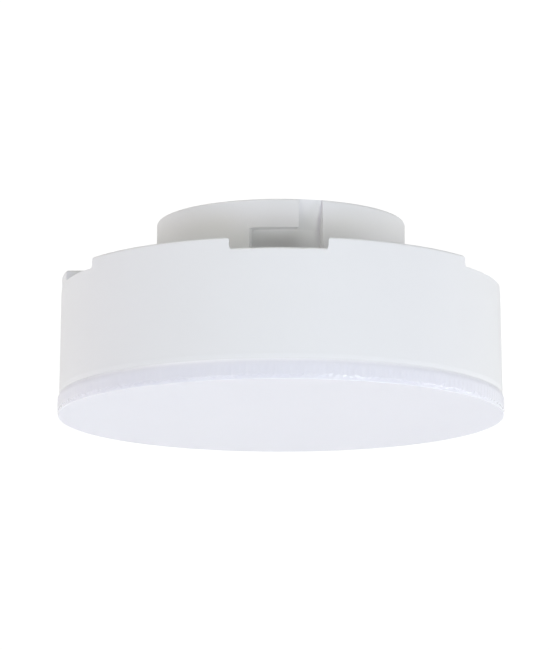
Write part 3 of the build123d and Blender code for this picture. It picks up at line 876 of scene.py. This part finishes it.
    def spread(self, radius: np.ndarray, height: np.ndarray, turns: np.ndarray) -> np.ndarray:
        """Place rings of radii and heights round the axis, with the snap beads on the spigot.

        A point is (radius times cosine, radius times sine, height). On a bead the radius grows by its reach,
        falling in a straight line to nothing at half the bead's height above and below its middle.

        Args:
            radius: rows x columns of radii.
            height: rows x columns of heights.
            turns: the angle of each column, from +X.

        Returns:
            Rows x columns x 3 coordinates.
        """
        middle = self.top - self.bead_drop
        swell = np.clip(1.0 - np.abs(height - middle) / (self.bead_height / 2), 0.0, 1.0)
        spacing = 2.0 * np.pi / self.bead_count
        on_bead = np.mod(turns, spacing) <= math.radians(self.bead_span_deg)
        on_spigot = np.abs(radius - self.spigot_radius) < TOUCH
        radius = radius + np.where(on_spigot & on_bead, self.bead_reach * swell, 0.0)
        return np.stack([radius * np.cos(turns), radius * np.sin(turns), height], axis=-1)

    def paint(self, piece: bpy.types.Object) -> None:
        """Give the band and the inside one finish, and the flat face with its lower edge the other."""
        mesh = piece.data
        mesh.materials.append(self.band_finish.make())
        face = self.face_finish.make()
        mesh.materials.append(face)
        centres = np.empty(len(mesh.polygons) * 3, np.float32)
        mesh.polygons.foreach_get("center", centres)
        on_face = centres.reshape(-1, 3)[:, 2] < self.face_share * self.edge_radius * MM
        mesh.polygons.foreach_set("material_index", on_face.astype(np.int32))
        mesh.update()
        dress("diffuser", face)


@dataclass
class Housing:
    """The white moulding with the wall, the castellated rim, the deck and the cap."""

    finish: MouldedPlastic = MouldedPlastic("white_plastic", (0.82, 0.825, 0.835), 0.56)

    def build(self) -> None:
        """Dress the moulding."""
        dress("housing", self.finish.make())


@dataclass
class ContactPins:
    """The two turned mushroom pins."""

    finish: WorkedMetal = WorkedMetal("nickel_plate", (0.66, 0.64, 0.60), 0.25)

    def build(self) -> None:
        """Dress both pins in one plating."""
        plating = self.finish.make()
        for side in ("left", "right"):
            dress(f"contact_pin_{side}", plating)


@dataclass
class LedEngine:
    """What makes and carries off the light: the board with its packages, its screws and the heat sink."""

    sheet: WorkedMetal = WorkedMetal("pressed_aluminium", (0.77, 0.78, 0.79), 0.36, line_scale=5.0)
    plating: WorkedMetal = WorkedMetal("zinc_steel", (0.62, 0.64, 0.66), 0.32)
    board: CircuitBoard = CircuitBoard(
        "white_board",
        mask_colour=(0.80, 0.80, 0.78),
        copper_colour=(0.86, 0.86, 0.84),
        core_colour=(0.74, 0.74, 0.74),
        core_metallic=1.0,
        covered_above=False,
        field_scale=0.11,
    )
    package: LedPackage = LedPackage("led_package")

    def build(self) -> None:
        """Dress each of its nodes."""
        dress("heat_sink", self.sheet.make())
        dress("led_board", self.board.make())
        dress("leds", self.package.make())
        dress("led_board_screws", self.plating.make())


@dataclass
class Driver:
    """The round circuit board and the parts that stand on it and hang under it."""

    board_top: float = 19.7
    bulk_place: Pair = (-8.5, 6.0)
    bulk_radius: float = 4.0
    output_place: Pair = (9.2, -6.4)
    output_radius: float = 3.15
    flat_half_width: float = 1.95
    diode_half_length: float = 2.15
    chip_column: float = 1.7
    chip_half_length: float = 0.65
    resistor_half_length: float = 3.5
    sleeve: Colour = (0.02, 0.025, 0.05)
    sleeve_roughness: float = 0.35
    dip: Colour = (0.42, 0.17, 0.025)
    dip_roughness: float = 0.2
    ferrite: Colour = (0.05, 0.05, 0.052)
    ferrite_roughness: float = 0.6
    lacquer: Colour = (0.10, 0.20, 0.12)
    lacquer_roughness: float = 0.3
    rings: tuple[tuple[float, Colour], ...] = (
        (-2.6, (0.25, 0.02, 0.01)),
        (-1.3, (0.01, 0.01, 0.01)),
        (0.0, (0.01, 0.01, 0.01)),
        (2.5, (0.5, 0.35, 0.08)),
    )
    black: Colour = (0.025, 0.025, 0.027)
    black_roughness: float = 0.55
    chip_roughness: float = 0.3
    laminate: CircuitBoard = CircuitBoard(
        "green_board",
        mask_colour=(0.015, 0.12, 0.045),
        copper_colour=(0.03, 0.22, 0.08),
        core_colour=(0.42, 0.38, 0.22),
        core_metallic=0.0,
        covered_above=True,
    )

    def can(self, node: str, place: Pair, radius: float) -> None:
        """Dress one of the capacitors that stand in a sleeve.

        Args:
            node: its node, which also names the finish.
            place: where its axis stands.
            radius: its radius.
        """
        leads = (LeadSide.DOWN, self.board_top)
        shape = {"axis": place, "radius": radius, "top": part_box(node)[1].z / MM}
        finish = SleevedCan(f"dark_sleeve_{node}", self.sleeve, self.sleeve_roughness, *leads, **shape)
        dress(node, finish.make())

    def dress_upright(self) -> None:
        """Dress the parts that stand on the board."""
        ends = (LeadSide.X, self.resistor_half_length)
        leads = (LeadSide.DOWN, self.board_top)
        self.can("bulk_capacitor", self.bulk_place, self.bulk_radius)
        self.can("output_capacitor", self.output_place, self.output_radius)
        dress("film_capacitor", LeadedPart("ochre_dip", self.dip, self.dip_roughness, *leads).make())
        drum = WoundDrum("shrink_sleeve", self.ferrite, self.ferrite_roughness, *leads)
        dress("inductor", drum.make())
        ringed = RingedBody("green_lacquer", self.lacquer, self.lacquer_roughness, *ends, rings=self.rings)
        dress("fusible_resistor", ringed.make())

    def dress_flat(self) -> None:
        """Dress the parts that lie under the board."""
        body = (self.black, self.black_roughness)
        moulding = LeadedPart("black_moulding", *body, LeadSide.Y, self.flat_half_width).make()
        dress("bridge_rectifier", moulding)
        dress("driver_chip", moulding)
        block = LeadedPart("black_moulding_diode", *body, LeadSide.X, self.diode_half_length)
        dress("freewheel_diode", block.make())
        body = (self.black, self.chip_roughness)
        caps = {"limit": self.chip_half_length, "offset": self.chip_column}
        dress("chip_resistors", LeadedPart("black_moulding_chips", *body, LeadSide.X, **caps).make())

    def build(self) -> None:
        """Dress the board and all its parts."""
        dress("driver_board", self.laminate.make())
        self.dress_upright()
        self.dress_flat()


@dataclass
class Wiring:
    """The wires from the pins to the driver and from the driver to the LED board."""

    pin_end: float = 17.5
    board_under: float = 18.1
    led_end: float = 6.9
    nowhere: float = 99.0
    white: Colour = (0.78, 0.78, 0.76)
    red: Colour = (0.42, 0.02, 0.015)
    black: Colour = (0.02, 0.02, 0.02)

    def build(self) -> None:
        """Dress the four wires."""
        mains = WireCover("white_insulation", self.white, self.pin_end, self.nowhere).make()
        for side in ("left", "right"):
            dress(f"pin_wire_{side}", mains)
        plus = WireCover("red_insulation", self.red, self.board_under, self.led_end)
        minus = WireCover("black_insulation", self.black, self.board_under, self.led_end)
        dress("led_wire_plus", plus.make())
        dress("led_wire_minus", minus.make())


@dataclass(frozen=True)
class SoftLight:
    """A soft light that faces the lamp; places and sizes are metres, and radiance 1 is paper white."""

    name: str
    place: tuple[float, float, float]
    size: Pair
    radiance: float
    colour: Colour

    def hang(self) -> None:
        """Add the light, unseen by the camera."""
        data = bpy.data.lights.new(self.name, "AREA")
        data.shape = "RECTANGLE"
        data.size, data.size_y = self.size
        data.energy = self.radiance * math.pi * self.size[0] * self.size[1]
        data.color = self.colour
        light = bpy.data.objects.new(self.name, data)
        light.location = self.place
        light.rotation_mode = "QUATERNION"
        light.rotation_quaternion = (-Vector(self.place)).to_track_quat("-Z", "Y")
        light.visible_camera = False
        bpy.context.scene.collection.objects.link(light)


@dataclass
class LampStudio:
    """Camera, soft light, white surroundings and a pale floor well under the lamp; lengths are metres."""

    floor_drop: float = 1.4
    floor_radius: float = 12.0
    floor_steps: int = 96
    floor_paint: MouldedPlastic = MouldedPlastic("floor_paint", (0.86, 0.86, 0.86), 0.7, grain_scale=0.09)
    frame_px: tuple[int, int] = (550, 650)
    focal_px: float = 4008.2
    lamp_centre_px: float = 280.93
    distance: float = 0.6737
    below_deg: float = 9.412
    pitch_deg: float = 10.730
    turn_deg: float = 0.51
    sensor_mm: float = 36.0
    near_clip: float = 0.01
    seen_light: float = 1.05
    backdrop_light: float = 0.79
    backdrop_tint: Colour = (0.98, 1.0, 0.916)
    backdrop_depth: Pair = (-0.5, 0.5)
    backdrop_top: Pair = (0.22, 0.30)
    ceiling_light: float = 0.5
    ceiling_edge: Pair = (0.60, 0.68)
    lights: tuple[SoftLight, ...] = (
        SoftLight("front_right", (1.2, -1.65, -0.43), (0.7, 0.7), 6.74, (0.943, 1.0, 0.88)),
        SoftLight("front_left", (-1.2, -1.65, -0.43), (0.7, 0.7), 3.67, (1.068, 1.0, 0.941)),
        SoftLight("low_right", (0.95, -1.55, -0.93), (0.45, 0.45), 7.9, (0.852, 1.0, 1.126)),
        SoftLight("low_left", (-0.95, -1.55, -0.93), (0.45, 0.45), 8.75, (0.898, 1.0, 1.132)),
        SoftLight("low_front", (0.0, -1.87, -0.8), (0.45, 0.45), 4.54, (1.053, 1.0, 1.577)),
        SoftLight("right", (2.0, -0.2, -0.3), (0.8, 0.8), 4.37, (1.059, 1.0, 1.126)),
        SoftLight("back_left", (-1.7, 1.0, -0.7), (1.0, 1.0), 5.46, (1.039, 1.0, 1.045)),
        SoftLight("back_right", (1.7, 1.0, -0.7), (1.0, 1.0), 4.52, (0.981, 1.0, 1.01)),
        SoftLight("top_front", (0.0, -1.2, 1.8), (1.2, 0.3), 6.2, (0.99, 1.0, 1.02)),
        SoftLight("top_left", (-1.3, -0.7, 1.6), (1.2, 0.3), 8.5, (1.035, 1.0, 0.89)),
    )

    def make_camera(self) -> None:
        """Set the camera below and in front of the lamp, as long and as far as the photograph's."""
        below = math.radians(self.below_deg)
        turn = math.radians(self.turn_deg)
        pitch = math.radians(self.pitch_deg)
        data = bpy.data.cameras.new("camera")
        data.sensor_width = self.sensor_mm
        data.lens = self.focal_px / max(self.frame_px) * self.sensor_mm
        data.clip_start = self.near_clip
        camera = bpy.data.objects.new("camera", data)
        reach = self.distance * math.cos(below)
        camera.location = (reach * math.sin(turn), -reach * math.cos(turn), -self.distance * math.sin(below))
        aside = math.atan((self.lamp_centre_px - self.frame_px[0] / 2) / self.focal_px)
        heading = turn + aside
        level = math.cos(pitch)
        aim = Vector((-math.sin(heading) * level, math.cos(heading) * level, math.sin(pitch)))
        camera.rotation_mode = "QUATERNION"
        camera.rotation_quaternion = aim.to_track_quat("-Z", "Y")
        bpy.context.scene.collection.objects.link(camera)
        bpy.context.scene.camera = camera

    def make_world(self) -> None:
        """Light the lamp by a pale backdrop and a dim ceiling, and show plain white behind it."""
        world = bpy.data.worlds.new("studio")
        world.use_nodes = True
        bpy.context.scene.world = world
        board = NodeBoard(world.node_tree)
        parts = board.parts(board.add("TexCoord", {}).outputs["Generated"])
        behind = board.ramp(parts["Y"], *self.backdrop_depth, 0.0, self.backdrop_light)
        low = board.ramp(parts["Z"], *self.backdrop_top, 1.0, 0.0)
        overhead = board.ramp(parts["Z"], *self.ceiling_edge, 0.0, 1.0)
        backdrop = board.shade(self.backdrop_tint, board.math("MULTIPLY", behind, low))
        seen = board.add("LightPath", {}).outputs["Is Camera Ray"]
        room = board.blend(overhead, backdrop, grey(self.ceiling_light))
        tone = board.blend(seen, room, grey(self.seen_light))
        background = board.add("Background", {"Color": tone})
        output = board.add("OutputWorld", {})
        board.feed(output.inputs["Surface"], background.outputs[0])

    def make_floor(self) -> None:
        """Lay a round pale floor: a ring of points at the radius, closed by one face."""
        turns = np.linspace(0.0, 2.0 * np.pi, self.floor_steps, endpoint=False)
        down = np.full_like(turns, -self.floor_drop)
        ring = np.stack([self.floor_radius * np.cos(turns), self.floor_radius * np.sin(turns), down], axis=1)
        mesh = bpy.data.meshes.new("floor")
        mesh.from_pydata(ring.tolist(), [], [list(range(len(ring)))])
        floor = bpy.data.objects.new("floor", mesh)
        floor.data.materials.append(self.floor_paint.make())
        bpy.context.scene.collection.objects.link(floor)

    def build(self) -> None:
        """Make the whole studio."""
        settings = bpy.context.scene.view_settings
        settings.view_transform = "Standard"
        settings.look = "None"
        self.make_camera()
        self.make_world()
        self.make_floor()
        for light in self.lights:
            light.hang()


def main() -> None:
    """Build the lamp's looks and the studio."""
    logging.basicConfig(level=logging.INFO, format="%(name)s: %(message)s")
    for assembly in (LightFace(), Housing(), ContactPins(), LedEngine(), Driver(), Wiring(), LampStudio()):
        assembly.build()


if __name__ == "__main__":
    main()
